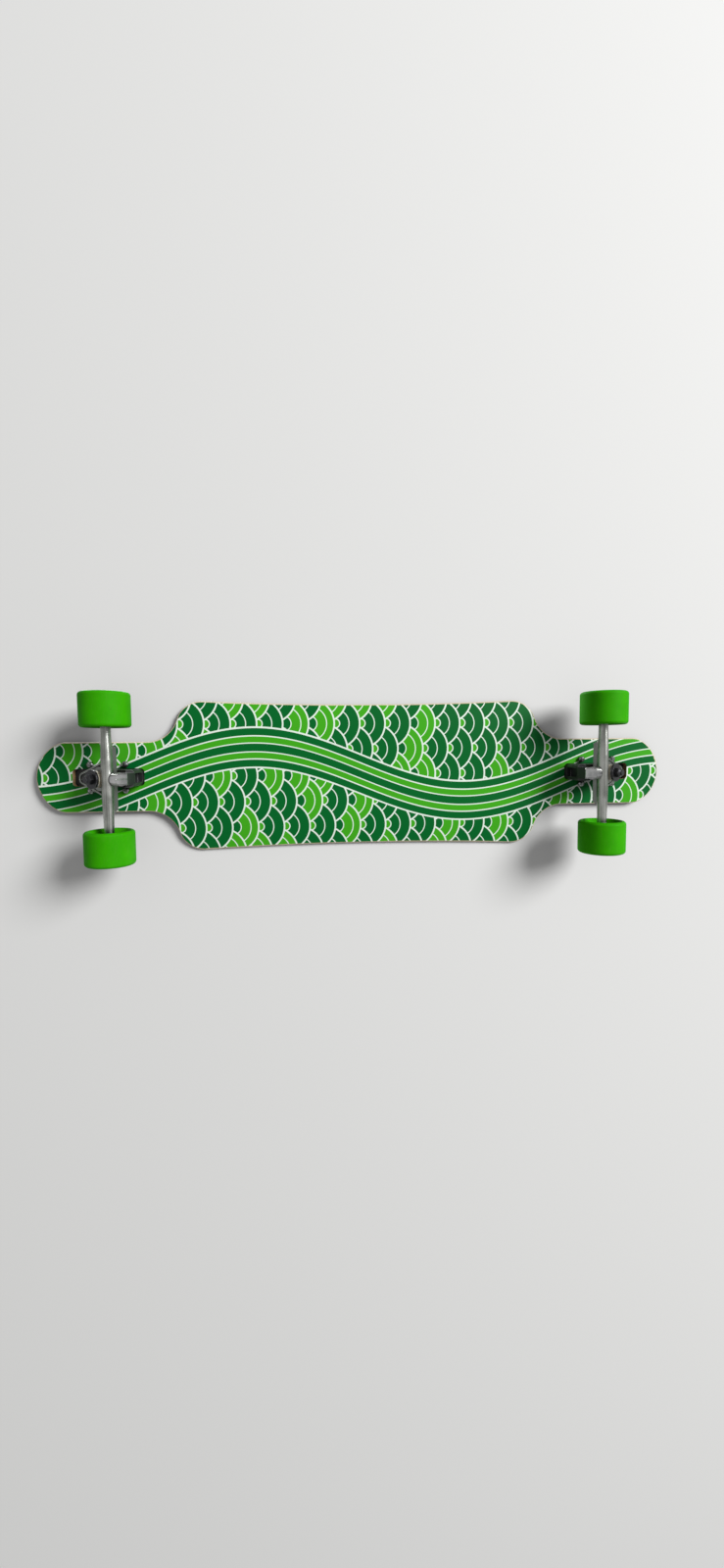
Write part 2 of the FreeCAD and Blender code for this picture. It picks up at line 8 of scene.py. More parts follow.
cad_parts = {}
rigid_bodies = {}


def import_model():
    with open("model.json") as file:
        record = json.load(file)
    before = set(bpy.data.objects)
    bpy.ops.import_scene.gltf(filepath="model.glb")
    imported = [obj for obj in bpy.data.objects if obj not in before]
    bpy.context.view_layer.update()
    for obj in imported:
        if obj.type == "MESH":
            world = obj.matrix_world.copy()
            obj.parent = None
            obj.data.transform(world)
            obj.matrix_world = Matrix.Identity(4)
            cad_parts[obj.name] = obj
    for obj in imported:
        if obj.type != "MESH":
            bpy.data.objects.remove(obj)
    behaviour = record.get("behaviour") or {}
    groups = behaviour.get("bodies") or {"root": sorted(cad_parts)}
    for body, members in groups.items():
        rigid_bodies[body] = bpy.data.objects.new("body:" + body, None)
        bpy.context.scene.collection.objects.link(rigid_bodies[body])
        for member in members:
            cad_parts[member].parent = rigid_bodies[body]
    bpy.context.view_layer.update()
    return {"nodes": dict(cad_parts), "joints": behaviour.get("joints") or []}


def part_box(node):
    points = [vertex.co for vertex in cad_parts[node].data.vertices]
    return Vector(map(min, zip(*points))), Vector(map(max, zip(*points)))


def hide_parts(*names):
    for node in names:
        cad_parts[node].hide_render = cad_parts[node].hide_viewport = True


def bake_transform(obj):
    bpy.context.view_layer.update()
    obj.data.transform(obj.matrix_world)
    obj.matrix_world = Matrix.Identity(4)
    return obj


for leftover in list(bpy.data.objects):
    bpy.data.objects.remove(leftover)
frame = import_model()

# Deck core
# Five maple plies, laid with the grain along and across in turn, glued and pressed into one
# springy board. Only its cut edge shows, as a stack of stripes round the outline and the slots.
mm = 0.001
nodes = frame["nodes"]
deck_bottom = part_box("deck_bottom_veneer")[0].z
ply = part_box("deck_core")[0].z - deck_bottom
flat_half_width = 46 * mm
concave_rise = 7 * mm
concave_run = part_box("deck_core")[1].y - flat_half_width
concave_radius = (concave_run ** 2 + concave_rise ** 2) / (2 * concave_rise)


class Wire:
    """A socket of a finish. Arithmetic on wires adds the Math nodes that work it out."""

    def __init__(self, tree, socket=None):
        self.tree = tree
        self.socket = socket

    def add(self, kind, settings=None, values=None, out=0):
        """A new node of a kind, with its settings, then the values or links of its sockets."""
        node = self.tree.nodes.new("ShaderNode" + kind)
        for name, value in (settings or {}).items():
            if name == "stops":
                self.set_stops(node.color_ramp, value)
            else:
                setattr(node, name, value)
        for name, value in (values or {}).items():
            if isinstance(value, Wire):
                self.tree.links.new(value.socket, node.inputs[name])
            else:
                node.inputs[name].default_value = value
        return Wire(self.tree, node.outputs[out])

    @staticmethod
    def set_stops(ramp, stops):
        ramp.interpolation = "CONSTANT"
        ramp.elements[0].position = stops[0][0]
        ramp.elements[0].color = stops[0][1]
        ramp.elements.remove(ramp.elements[1])
        for place, colour in stops[1:]:
            ramp.elements.new(place).color = colour

    def math(self, operation, *others):
        return self.add("Math", {"operation": operation}, dict(enumerate((self,) + others)))

    def axes(self):
        first = self.add("SeparateXYZ", values={0: self})
        return [Wire(self.tree, socket) for socket in first.socket.node.outputs]

    def __add__(self, other):
        return self.math("ADD", other)

    def __sub__(self, other):
        return self.math("SUBTRACT", other)

    def __rsub__(self, other):
        return self.add("Math", {"operation": "SUBTRACT"}, {0: other, 1: self})

    def __mul__(self, other):
        return self.math("MULTIPLY", other)

    def __truediv__(self, other):
        return self.math("DIVIDE", other)

    def __mod__(self, other):
        return self.math("FLOORED_MODULO", other)

    def __abs__(self):
        return self.math("ABSOLUTE")

    def __lt__(self, other):
        return self.math("LESS_THAN", other)

    def __gt__(self, other):
        return self.math("GREATER_THAN", other)

    __radd__ = __add__
    __rmul__ = __mul__


def tone(red, green, blue):
    """A colour as read off a screen, 0 to 255, in the linear values that a shader takes."""
    brightest, toe, toe_slope, lift, power = 255, 0.04045, 12.92, 0.055, 2.4
    shares = [value / brightest for value in (red, green, blue)]
    linear = [s / toe_slope if s <= toe else ((s + lift) / (1 + lift)) ** power for s in shares]
    return (*linear, 1.0)


def mix(mask, under, over):
    """One colour laid over another where the mask is 1."""
    factor, first, second, result = 0, 6, 7, 2
    return mask.add("Mix", {"data_type": "RGBA"}, {factor: mask, first: under, second: over}, result)


def span(wire, low, high):
    """A value that goes evenly from low to high as the wire goes from 0 to 1."""
    return wire * (high - low) + low


def ease(wire, low, high):
    """A soft step from 0 at low to 1 at high."""
    return wire.add("MapRange", {"interpolation_type": "SMOOTHSTEP"},
                    {"Value": wire, "From Min": low, "From Max": high})


def grain(spot, waves, detail=3.0):
    """Noise with so many waves to the metre along each axis."""
    stretched = spot.add("VectorMath", {"operation": "MULTIPLY"}, {0: spot, 1: waves})
    return spot.add("TexNoise", values={"Vector": stretched, "Scale": 1.0, "Detail": detail})


def even(waves):
    """So many waves to the metre along all three axes."""
    return (waves, waves, waves)


def relief(height, depth, under=None):
    """A bump of so many metres for a height that goes from 0 to 1."""
    values = {"Strength": 1.0, "Distance": depth, "Height": height}
    if under is not None:
        values["Normal"] = under
    return height.add("Bump", values=values)


def finish(name, fixed, paint):
    """A new material: fixed values go on the shader's own sockets, paint gives those that vary."""
    material = bpy.data.materials.new(name)
    material.use_nodes = True
    tree = material.node_tree
    shader = tree.nodes["Principled BSDF"]
    for socket, value in fixed.items():
        shader.inputs[socket].default_value = value
    spot = Wire(tree).add("TexCoord", out="Object")
    for socket, wire in paint(spot).items():
        tree.links.new(wire.socket, shader.inputs[socket])
    return material


def dress(material, *names):
    for name in names:
        mesh = nodes[name].data
        mesh.materials.clear()
        mesh.materials.append(material)


def height_in_deck(spot):
    """How far a spot lies above the deck's pressed underside."""
    x, y, z = spot.axes()
    out = (abs(y) - flat_half_width).math("MAXIMUM", 0)
    rise = concave_radius - (concave_radius ** 2 - out * out).math("SQRT")
    return z - rise - deck_bottom


maple_pale = tone(222, 190, 142)
maple_warm = tone(188, 142, 92)
glue_brown = tone(112, 76, 46)
edge_fibres = (90, 260, 2600)
edge_pores = (1900, 1900, 700)
pore_detail = 2.0
pore_range = (0.58, 0.72)
pore_stain = 0.6
cross_tint = 0.75
seam_share = 0.12
seam_stain = 0.7
seam_groove = 0.6
edge_roughness = (0.42, 0.62)
edge_relief = 0.12 * mm


def ply_edges(spot):
    level = height_in_deck(spot) / ply
    crossed = level.math("FLOOR") % 2
    seam = abs(level.math("FRACT") - 0.5) > 0.5 - seam_share / 2
    fibres = grain(spot, edge_fibres)
    pores = grain(spot, edge_pores, pore_detail)
    wood = mix(crossed * cross_tint + fibres * (1 - cross_tint), maple_pale, maple_warm)
    wood = mix(ease(pores, *pore_range) * crossed * pore_stain, wood, glue_brown)
    return {"Base Color": mix(seam * seam_stain, wood, glue_brown),
            "Roughness": span(fibres, *edge_roughness),
            "Normal": relief(fibres - seam * seam_groove, edge_relief)}


dress(finish("ply_edges", {"Coat Weight": 0.2, "Coat Roughness": 0.3}, ply_edges), "deck_core")

# Bottom veneer
# A maple face ply with a print of winding stripes and wave scales in two greens and white,
# under a satin lacquer. Its rounded rim is maple mixed with a varying share of white and shows
# as a pale line round the board.
print_dark = tone(0, 101, 40)
print_light = tone(68, 174, 28)
print_white = tone(238, 250, 238)
stream_swing = 46 * mm
stream_wave = 700 * mm
stream_half_width = 34 * mm
stream_stripes = [
    (0.0, print_white), (0.04, print_dark), (0.21, print_white), (0.24, print_light),
    (0.38, print_white), (0.41, print_dark), (0.59, print_white), (0.62, print_light),
    (0.76, print_white), (0.79, print_dark), (0.96, print_white)]
scale_radius = 42 * mm
scale_row_pitch = scale_radius / 2
rows_back_to_front = (1, 0, -1, -2)
plain_scale = [(0.0, print_light), (0.16, print_white), (0.2, print_dark), (0.53, print_white),
               (0.57, print_dark), (0.935, print_white)]
bold_scale = [(0.0, print_dark), (0.27, print_white), (0.31, print_light), (0.65, print_white),
              (0.69, print_light), (0.935, print_white)]
bold_share = 0.34
rim_slope = 0.93
rim_white_share = (0.35, 0.75)
face_fibres = (14, 900, 900)
fibre_shade = 0.10
fibre_roughness = 0.06
rub_waves = even(60)
rub_detail = 6.0
rub_range = (0.62, 0.8)
face_roughness = (0.4, 0.55)
face_relief = 0.02 * mm


def front_scale(x, y):
    """How far a spot lies from the middle of the frontmost scale over it, as a share of the radius,
    and a number from 0 to 1 drawn for that scale."""
    factor, first, second, result = 0, 4, 5, 1
    step = x / scale_row_pitch
    row = step.math("FLOOR")
    near = None
    for ahead in rows_back_to_front:
        number = row + ahead
        along = (step - number) * scale_row_pitch
        shifted = y - (number % 2) * scale_radius
        aside = shifted.math("WRAP", scale_radius, -scale_radius)
        reach = (along * along + aside * aside).math("SQRT") / scale_radius
        place = x.add("CombineXYZ", values={"X": number, "Y": (shifted - aside) / scale_radius})
        if near is None:
            near, found = reach, place
        else:
            covered = reach < 1
            near = near + covered * (reach - near)
            found = x.add("Mix", {"data_type": "VECTOR"},
                          {factor: covered, first: found, second: place}, result)
    return near, found.add("TexWhiteNoise", values={"Vector": found})


def banded(share, stops):
    """Flat bands of colour, each from its stop on."""
    return share.add("ValToRGB", {"stops": stops}, {0: share})


def printed_face(spot):
    x, y, z = spot.axes()
    share, drawn = front_scale(x, y)
    scales = mix(drawn < bold_share, banded(share, plain_scale), banded(share, bold_scale))
    middle = (x * (2 * math.pi / stream_wave)).math("SINE") * stream_swing
    across = (y - middle) / (2 * stream_half_width) + 0.5
    design = mix(abs(across - 0.5) < 0.5, scales, banded(across, stream_stripes))
    facing = Wire(spot.tree).add("TexCoord", out="Normal").axes()[2]
    fibres = grain(spot, face_fibres)
    wood = mix(fibres, maple_pale, maple_warm)
    printed = mix(fibres * fibre_shade, design, print_dark)
    rubbed = ease(grain(spot, rub_waves, rub_detail), *rub_range)
    # The rim and edge faces are maple with a varying share of white mixed in.
    rim = mix(span(rubbed, *rim_white_share), wood, print_white)
    return {"Base Color": mix(facing > -rim_slope, printed, rim),
            "Roughness": span(rubbed, *face_roughness) + fibres * fibre_roughness,
            "Normal": relief(fibres, face_relief)}


dress(finish("printed_veneer", {"Specular IOR Level": 0.1}, printed_face), "deck_bottom_veneer")

# Top veneer
# The face ply on the rider's side, bare maple under a thin lacquer. It shows as a narrow margin
# round the grip tape and as the ledge that the truck flanges sit on.
top_fibres = (12, 700, 700)
top_fibre_detail = 4.0
figure_waves = (3, 40, 40)
figure_detail = 2.0
figure_tint = 0.4
top_roughness = (0.36, 0.52)
top_relief = 0.03 * mm


def bare_maple(spot):
    fibres = grain(spot, top_fibres, top_fibre_detail)
    figure = grain(spot, figure_waves, figure_detail)
    tint = fibres * (1 - figure_tint) + figure * figure_tint
    return {"Base Color": mix(tint, maple_pale, maple_warm),
            "Roughness": span(fibres, *top_roughness),
            "Normal": relief(fibres, top_relief)}


lacquer = {"Coat Weight": 0.25, "Coat Roughness": 0.3}
dress(finish("bare_maple", lacquer, bare_maple), "deck_top_veneer")

# Grip tape
# A self-adhesive sheet of black mineral grit, die cut a little inside the rim and round the
# truck flanges. Some crystals are painted lighter grey as painted glints, and the trodden middle
# is greyer than the edges.
grit_black = tone(26, 26, 27)
grit_dust = tone(66, 65, 63)
grit_painted_glint = tone(150, 150, 152)
crystals_per_metre = 1500.0
painted_glint_range = (0.9, 1.0)
painted_glint_share = 0.55
scuff_waves = (16, 26, 16)
scuff_detail = 6.0
scuff_range = (0.45, 0.75)
trodden_edge = (40 * mm, 110 * mm)
dust_share = 0.5
grit_roughness = (0.6, 0.95)
grit_relief = 0.45 * mm


def grip_grit(spot):
    x, y, z = spot.axes()
    cells = {"Vector": spot, "Scale": crystals_per_metre}
    crystals = spot.add("TexVoronoi", values=cells)
    crystal_middles = spot.add("TexVoronoi", values=cells, out="Position")
    painted_glint = spot.add("TexWhiteNoise", values={"Vector": crystal_middles}, out="Value")
    scuffs = grain(spot, scuff_waves, scuff_detail)
    trodden = ease(scuffs, *scuff_range) * (1 - ease(abs(y), *trodden_edge))
    colour = mix(trodden * dust_share, grit_black, grit_dust)
    # Painted glints: a share of the crystals is painted lighter grey in place of sparkle.
    colour = mix(ease(painted_glint, *painted_glint_range) * painted_glint_share, colour, grit_painted_glint)
    return {"Base Color": colour,
            "Roughness": span(painted_glint, *grit_roughness),
            "Normal": relief(1 - crystals, grit_relief)}


dress(finish("grip_grit", {}, grip_grit), "grip_tape")

# Baseplates
# Cast aluminium: a flange bolted on top of the deck, and a body that drops through the slot and
# ends in the tower of the pivot. The casting is coated black, rubbed bright on its corners, and
# the round barrel of the tower is left bare.
ends = ("front", "rear")
coat_black = tone(30, 31, 32)
coat_dusty = tone(58, 60, 60)
cast_bright = (0.62, 0.62, 0.62, 1.0)
cast_dull = (0.34, 0.345, 0.35, 1.0)
barrel_start = 30 * mm
barrel_stop = 46.3 * mm
barrel_radius = 10 * mm
barrel_skin = (0.97 * barrel_radius, 1.01 * barrel_radius)
barrel_cover = 0.2 * barrel_radius
barrel_polish = 0.14
crown_floor = 0.02
baseplate_corner = 0.7 * mm
corner_bare = (0.02, 0.2)
bevel_samples = 6
coat_pebbles = even(900)
coat_stains = even(45)
stain_detail = 4.0
rubbed_range = (0.42, 0.6)
dull_range = (0.35, 0.75)
dusty_range = (0.45, 0.8)
dusty_share = 0.6
coat_roughness = (0.34, 0.5)
coat_relief = 0.06 * mm
pivots = {joint["name"].split("_")[0]: joint for joint in frame["joints"]
          if joint["name"].endswith("_steer")}


def along_pivot(spot):
    """Place of a spot on either truck along the front truck's pivot line, out from it, and below it."""
    x, y, z = spot.axes()
    start = Vector(pivots["front"]["pos_m"])
    line = Vector(pivots["front"]["axis"])
    out = abs(x) - start.x
    up = z - start.z
    along = out * line.x + up * line.z
    below = out * line.z - up * line.x
    return along, (below * below + y * y).math("SQRT"), below


def worn_edges(spot, radius):
    """A normal with its corners softened, and a mask of the corners where bare metal shines."""
    soft = spot.add("Bevel", {"samples": bevel_samples}, {"Radius": radius})
    plain = spot.add("NewGeometry", out="Normal")
    turn = soft.add("VectorMath", {"operation": "DOT_PRODUCT"}, {0: soft, 1: plain}, "Value")
    return soft, ease(1 - turn, *corner_bare)


def cast_baseplate(spot):
    soft, corners = worn_edges(spot, baseplate_corner)
    pebbles = grain(spot, coat_pebbles)
    stains = grain(spot, coat_stains, stain_detail)
    along, radius, below = along_pivot(spot)
    inner, outer = barrel_skin
    side = (along < -barrel_start) * (radius > inner) * (below > -barrel_cover) * (radius < outer)
    end = along < -barrel_stop
    barrel = side.math("MAXIMUM", end)
    bare = barrel.math("MAXIMUM", corners * ease(stains, *rubbed_range))
    x, y, z = spot.axes()
    crown = (1 - y * y / barrel_radius ** 2).math("MAXIMUM", crown_floor).math("SQRT")
    metal = mix(ease(stains, *dull_range), cast_bright, cast_dull)
    coat = mix(ease(stains, *dusty_range) * dusty_share, coat_black, coat_dusty)
    skin = pebbles * (1 - barrel)
    return {"Base Color": mix(bare, coat, metal),
            "Metallic": bare,
            "Roughness": span(skin, *coat_roughness) - barrel * barrel_polish,
            "Normal": relief(crown * end, barrel_radius, relief(skin, coat_relief, soft))}


dress(finish("cast_baseplate", {}, cast_baseplate), *[e + "_truck_baseplate" for e in ends])

# Pivot cups
# Soft black plastic cups pressed into the towers, which the hangers' pivot noses turn in.
# They are moulded with a fine matt grain.
moulded_black = tone(30, 30, 31)
moulded_grey = tone(52, 52, 54)
moulded_sparks = even(1400)
moulded_detail = 2.0
moulded_roughness = (0.45, 0.7)
moulded_relief = 0.05 * mm


def moulded_plastic(spot):
    sparks = grain(spot, moulded_sparks, moulded_detail)
    return {"Base Color": mix(sparks, moulded_black, moulded_grey),
            "Roughness": span(sparks, *moulded_roughness),
            "Normal": relief(sparks, moulded_relief)}


dress(finish("moulded_plastic", {}, moulded_plastic), *[e + "_truck_pivot_cup" for e in ends])

# Kingpins, their lock nuts and cup washers
# Black-oxide steel. The kingpin leans through the bushings, the washers are pressed cups, and
# the lock nut sets how firmly the bushings are squeezed.
oxide_black = (0.055, 0.055, 0.06, 1.0)
oxide_rubbed = (0.34, 0.34, 0.35, 1.0)
oxide_corner = 0.5 * mm
oxide_blotches = even(240)
blotch_detail = 5.0
oxide_worn = (0.3, 0.6)
oxide_roughness = (0.25, 0.5)
oxide_relief = 0.03 * mm
kingpin_pitch = 1.25 * mm
kingpin_thread_depth = 0.5 * mm


def black_oxide(spot):
    soft, corners = worn_edges(spot, oxide_corner)
    blotches = grain(spot, oxide_blotches, blotch_detail)
    return {"Base Color": mix(corners * ease(blotches, *oxide_worn), oxide_black, oxide_rubbed),
            "Roughness": span(blotches, *oxide_roughness),
            "Normal": relief(blotches, oxide_relief, soft)}


def thread(place, pitch):
    """Ridges from 0 to 1 along a screw."""
    return (place / pitch).math("PINGPONG", 0.5) * 2


def threaded_oxide(spot):
    along, radius, below = along_pivot(spot)
    sockets = black_oxide(spot)
    ridges = thread(below, kingpin_pitch)
    sockets["Normal"] = relief(ridges, kingpin_thread_depth, sockets["Normal"])
    return sockets


dress(finish("black_oxide", {"Metallic": 1.0}, black_oxide),
      *[e + "_truck_" + piece for e in ends for piece in ("kingpin_nut", "cup_washers")])
dress(finish("threaded_oxide", {"Metallic": 1.0}, threaded_oxide), *[e + "_truck_kingpin" for e in ends])

# Bushings
# Barrels of cream urethane between the hanger's ring and the cup washers, one above and one
# below. The real ones squeeze and stretch as the board leans, and push it level again; here they
# are turned as fixed barrels in their rest place.
bushing_end_radius = 12.3 * mm
bushing_belly = 0.7 * mm
bushing_bore = 4.95 * mm
bushing_edge = 0.9 * mm
bushing_edge_round = 0.3 * bushing_edge
bushing_height = 14 * mm
bushing_start = 2 * mm
belly_steps = 8
belly_margin = 0.08
urethane_cream = tone(226, 219, 196)
urethane_dirty = tone(178, 168, 140)
urethane_clouds = even(160)
cloud_detail = 4.0
dirty_range = (0.45, 0.8)
dirty_share = 0.7
urethane_roughness = (0.3, 0.5)
urethane_relief = 0.05 * mm


def bushing_outline():
    """Radius and height of the barrel's half section, from bore to bore."""
    wall = [(bushing_end_radius - bushing_edge, 0),
            (bushing_end_radius - bushing_edge_round, bushing_edge_round)]
    for step in range(belly_steps + 1):
        share = belly_margin + (1 - 2 * belly_margin) * step / belly_steps
        bulge = bushing_belly * math.sin(math.pi * share)
        wall.append((bushing_end_radius + bulge, bushing_height * share))
    wall += [(r, bushing_height - h) for r, h in reversed(wall[:2])]
    lead = bushing_bore + bushing_edge
    foot = [(bushing_bore, bushing_edge), (lead, 0)]
    head = [(lead, bushing_height), (bushing_bore, bushing_height - bushing_edge)]
    return foot + wall + head


def turned(name, outline, place, axis, steps=64):
    """A closed half section of (radius, height) points, turned round an axis."""
    mesh = bpy.data.meshes.new(name)
    shape = bmesh.new()
    turn = axis.to_track_quat("Z", "Y").to_matrix().to_4x4()
    rings = []
    for step in range(steps):
        angle = 2 * math.pi * step / steps
        points = [Vector((r * math.cos(angle), r * math.sin(angle), h)) for r, h in outline]
        rings.append([shape.verts.new(point) for point in points])
    count = len(outline)
    for ring, after in zip(rings, rings[1:] + rings[:1]):
        for i in range(count):
            k = (i + 1) % count
            shape.faces.new((ring[i], after[i], after[k], ring[k]))
    bmesh.ops.recalc_face_normals(shape, faces=shape.faces)
    for face in shape.faces:
        face.smooth = True
    shape.transform(Matrix.Translation(place) @ turn)
    shape.to_mesh(mesh)
    shape.free()
    piece = bpy.data.objects.new(name, mesh)
    bpy.context.scene.collection.objects.link(piece)
    return piece


def cast_urethane(spot):
    clouds = grain(spot, urethane_clouds, cloud_detail)
    dirt = ease(clouds, *dirty_range) * dirty_share
    return {"Base Color": mix(dirt, urethane_cream, urethane_dirty),
            "Roughness": span(clouds, *urethane_roughness),
            "Normal": relief(clouds, urethane_relief)}


glow_within = {"Subsurface Weight": 0.2, "Subsurface Radius": (1.0, 0.8, 0.5),
               "Subsurface Scale": 1.5 * mm}
cream_urethane = finish("cream_urethane", glow_within, cast_urethane)
for end, joint in pivots.items():
    ring_middle = Vector(joint["pos_m"])
    pivot_line = Vector(joint["axis"])
    for where, sense in (("boardside", 1), ("roadside", -1)):
        kingpin_line = pivot_line.cross(Vector((0, 1, 0)))
        kingpin_line *= sense if kingpin_line.z > 0 else -sense
        seat = ring_middle + kingpin_line * bushing_start
        node = end + "_truck_" + where + "_bushing"
        bushing = turned(end + "_" + where + "_bushing", bushing_outline(), seat, kingpin_line)
        bushing.data.materials.append(cream_urethane)
        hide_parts(node)
        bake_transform(bushing)

# Mounting bolts and nuts
# Socket screws from the flange down through the deck, with lock nuts on the printed side. Their
# zinc is smoked dark and shines only on the corners.
smoke_bright = (0.40, 0.40, 0.41, 1.0)
smoke_dark = (0.16, 0.16, 0.165, 1.0)
small_corner = 0.35 * mm
plating_bloom = even(320)
bloom_detail = 4.0
smoke_range = (0.3, 0.6)
smoke_roughness = (0.16, 0.36)
plating_relief = 0.02 * mm
bolt_pitch = 0.8 * mm
bolt_thread_depth = 0.35 * mm


def smoked_zinc(spot):
    soft, corners = worn_edges(spot, small_corner)
    bloom = grain(spot, plating_bloom, bloom_detail)
    return {"Base Color": mix(ease(bloom, *smoke_range) * (1 - corners), smoke_bright, smoke_dark),
            "Roughness": span(bloom, *smoke_roughness),
            "Normal": relief(bloom, plating_relief, soft)}


def threaded_zinc(spot):
    x, y, z = spot.axes()
    sockets = smoked_zinc(spot)
    ridges = thread(z, bolt_pitch) * (z < deck_bottom)
    sockets["Normal"] = relief(ridges, bolt_thread_depth, sockets["Normal"])
    return sockets


dress(finish("smoked_zinc", {"Metallic": 1.0}, smoked_zinc), *[e + "_truck_mounting_nuts" for e in ends])
dress(finish("threaded_zinc", {"Metallic": 1.0}, threaded_zinc),
      *[e + "_truck_mounting_bolts" for e in ends])

# Hangers
# Cast aluminium axle bars with a web, a yoke that holds the bushings and a nose that turns in
# the pivot cup. The bar is ground to a satin sheen, with fine lines along it. Long darker streaks
# along the bar are painted into its colour as painted reflection streaks, mixed with real stains,
# and the hollows and corners are painted darker by an occlusion mask as painted shade.
satin_bright = (0.53, 0.54, 0.51, 1.0)
satin_darker = (0.235, 0.245, 0.225, 1.0)
cast_grey = (0.165, 0.175, 0.165, 1.0)
painted_shade_grey = (0.10, 0.10, 0.10, 1.0)
first_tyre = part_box("front_left_wheel_tyre")
axle_height = first_tyre[1].z / 2
axle_distance = (first_tyre[0].x + first_tyre[1].x) / 2
bar_radius = 8.8 * mm
hanger_corner = 0.9 * mm
ground_lines = (2600, 26, 2600)
bar_painted_streaks = (420, 5, 420)
streak_detail = 2.0
streak_share = 0.6
bar_dull_range = (0.36, 0.62)
bar_stains = even(40)
cast_pebbles = even(800)
cast_worn_share = 0.25
painted_shade_reach = 9 * mm
painted_shade_samples = 6
painted_shade_range = (0.25, 0.85)
painted_shade_share = 0.75
satin_roughness = (0.24, 0.4)
ground_polish = 0.04
satin_relief = 0.04 * mm


def out_from_axle(spot):
    """How far a spot on either truck lies from the axle's middle line."""
    x, y, z = spot.axes()
    out = abs(x) - axle_distance
    up = z - axle_height
    return (out * out + up * up).math("SQRT")


def satin_aluminium(spot):
    soft, corners = worn_edges(spot, hanger_corner)
    lines = grain(spot, ground_lines)
    painted_streaks = grain(spot, bar_painted_streaks, streak_detail)
    stains = grain(spot, bar_stains, stain_detail)
    pebbles = grain(spot, cast_pebbles)
    ground = out_from_axle(spot) < bar_radius
    open_sky = spot.add("AmbientOcclusion", {"samples": painted_shade_samples, "only_local": True},
                        {"Distance": painted_shade_reach}, "AO")
    # Painted reflection streaks along the bar, mixed with real stains, darken its colour.
    stains_and_painted_streaks = ease(painted_streaks * streak_share + stains * (1 - streak_share), *bar_dull_range)
    bar = mix(stains_and_painted_streaks * (1 - corners), satin_bright, satin_darker)
    cast = mix(corners + (1 - stains) * cast_worn_share, cast_grey, satin_bright)
    metal = mix(ground, cast, bar)
    skin = pebbles + ground * (lines - pebbles)
    # Painted shade: the occlusion mask paints recesses and corners dark grey.
    painted_shade = (1 - ease(open_sky, *painted_shade_range)) * painted_shade_share
    return {"Base Color": mix(painted_shade, metal, painted_shade_grey),
            "Roughness": span(skin, *satin_roughness) - ground * ground_polish,
            "Normal": relief(skin, satin_relief, soft)}


dress(finish("satin_aluminium", {"Metallic": 1.0}, satin_aluminium),
      *[e + "_truck_hanger" for e in ends])

# Axles, nuts, speed washers and spacers
# Steel rods pressed through the hangers, with zinc-plated lock nuts outside the wheels, thin
# washers at the bearings and a tube between the two bearings of each wheel.
zinc_bright = (0.70, 0.70, 0.69, 1.0)
zinc_bloom = (0.46, 0.46, 0.45, 1.0)
zinc_bloom_range = (0.45, 0.75)
zinc_roughness = (0.18, 0.42)
axle_pitch = 1.0 * mm
axle_thread_depth = 0.4 * mm


def zinc_plate(spot):
    soft, corners = worn_edges(spot, small_corner)
    bloom = grain(spot, plating_bloom, bloom_detail)
    clouded = ease(bloom, *zinc_bloom_range) * (1 - corners)
    return {"Base Color": mix(clouded, zinc_bright, zinc_bloom),
            "Roughness": span(bloom, *zinc_roughness),
            "Normal": relief(bloom, plating_relief, soft)}


def threaded_axle(spot):
    x, y, z = spot.axes()
    sockets = zinc_plate(spot)
    sockets["Normal"] = relief(thread(y, axle_pitch), axle_thread_depth, sockets["Normal"])
    return sockets


dress(finish("zinc_plate", {"Metallic": 1.0}, zinc_plate),
      *[e + "_truck_" + piece for e in ends for piece in ("axle_nuts", "speed_washers", "bearing_spacers")])
dress(finish("threaded_axle", {"Metallic": 1.0}, threaded_axle), *[e + "_truck_axle" for e in ends])

# Bearings
# Polished steel races with pressed steel shields, and balls held apart by moulded cages. The
# outer races sit in the wheel cores and the inner ones on the axle.
wheels = [e + "_" + side + "_wheel" for e in ends for side in ("left", "right")]
race_bright = (0.74, 0.74, 0.74, 1.0)
race_dull = (0.52, 0.52, 0.53, 1.0)
race_lines = (1800, 60, 1800)
line_detail = 2.0
oil_film = even(200)
film_detail = 4.0
race_roughness = (0.12, 0.28)
race_relief = 0.01 * mm
cage_pale = tone(222, 214, 190)
cage_dark = tone(190, 180, 150)
cage_clouds = even(500)
cage_roughness = (0.4, 0.6)
cage_relief = 0.02 * mm


def polished_steel(spot):
    rings = grain(spot, race_lines, line_detail)
    film = grain(spot, oil_film, film_detail)
    return {"Base Color": mix(film, race_bright, race_dull),
            "Roughness": span(rings, *race_roughness),
            "Normal": relief(rings, race_relief)}


def moulded_cage(spot):
    clouds = grain(spot, cage_clouds)
    return {"Base Color": mix(clouds, cage_pale, cage_dark),
            "Roughness": span(clouds, *cage_roughness),
            "Normal": relief(clouds, cage_relief)}


dress(finish("polished_steel", {"Metallic": 1.0}, polished_steel),
      *[e + "_truck_inner_races" for e in ends],
      *[wheel + "_" + piece for wheel in wheels for piece in ("outer_races", "shields", "balls")])
dress(finish("moulded_cage", {}, moulded_cage), *[wheel + "_cages" for wheel in wheels])

# Wheel cores
# Stiff moulded hubs in the same green as the tyres, cast in so that the bearings have firm
# seats. Shallow pockets between twelve ribs ring the bearing; they are pressed in by a bump and
# painted darker as painted shade.
core_green = tone(60, 164, 4)
core_shade = tone(36, 112, 4)
rib_count = 12
rib_flank = (0.12, 0.2)
rib_inner = 12.6 * mm
rib_outer = 18.4 * mm
pocket_edge = 0.6 * mm
pocket_depth = 1.2 * mm
pocket_painted_shade = 0.7
core_flow = even(120)
flow_detail = 4.0
flow_shade = 0.25
core_roughness = (0.4, 0.55)
core_relief = 0.04 * mm


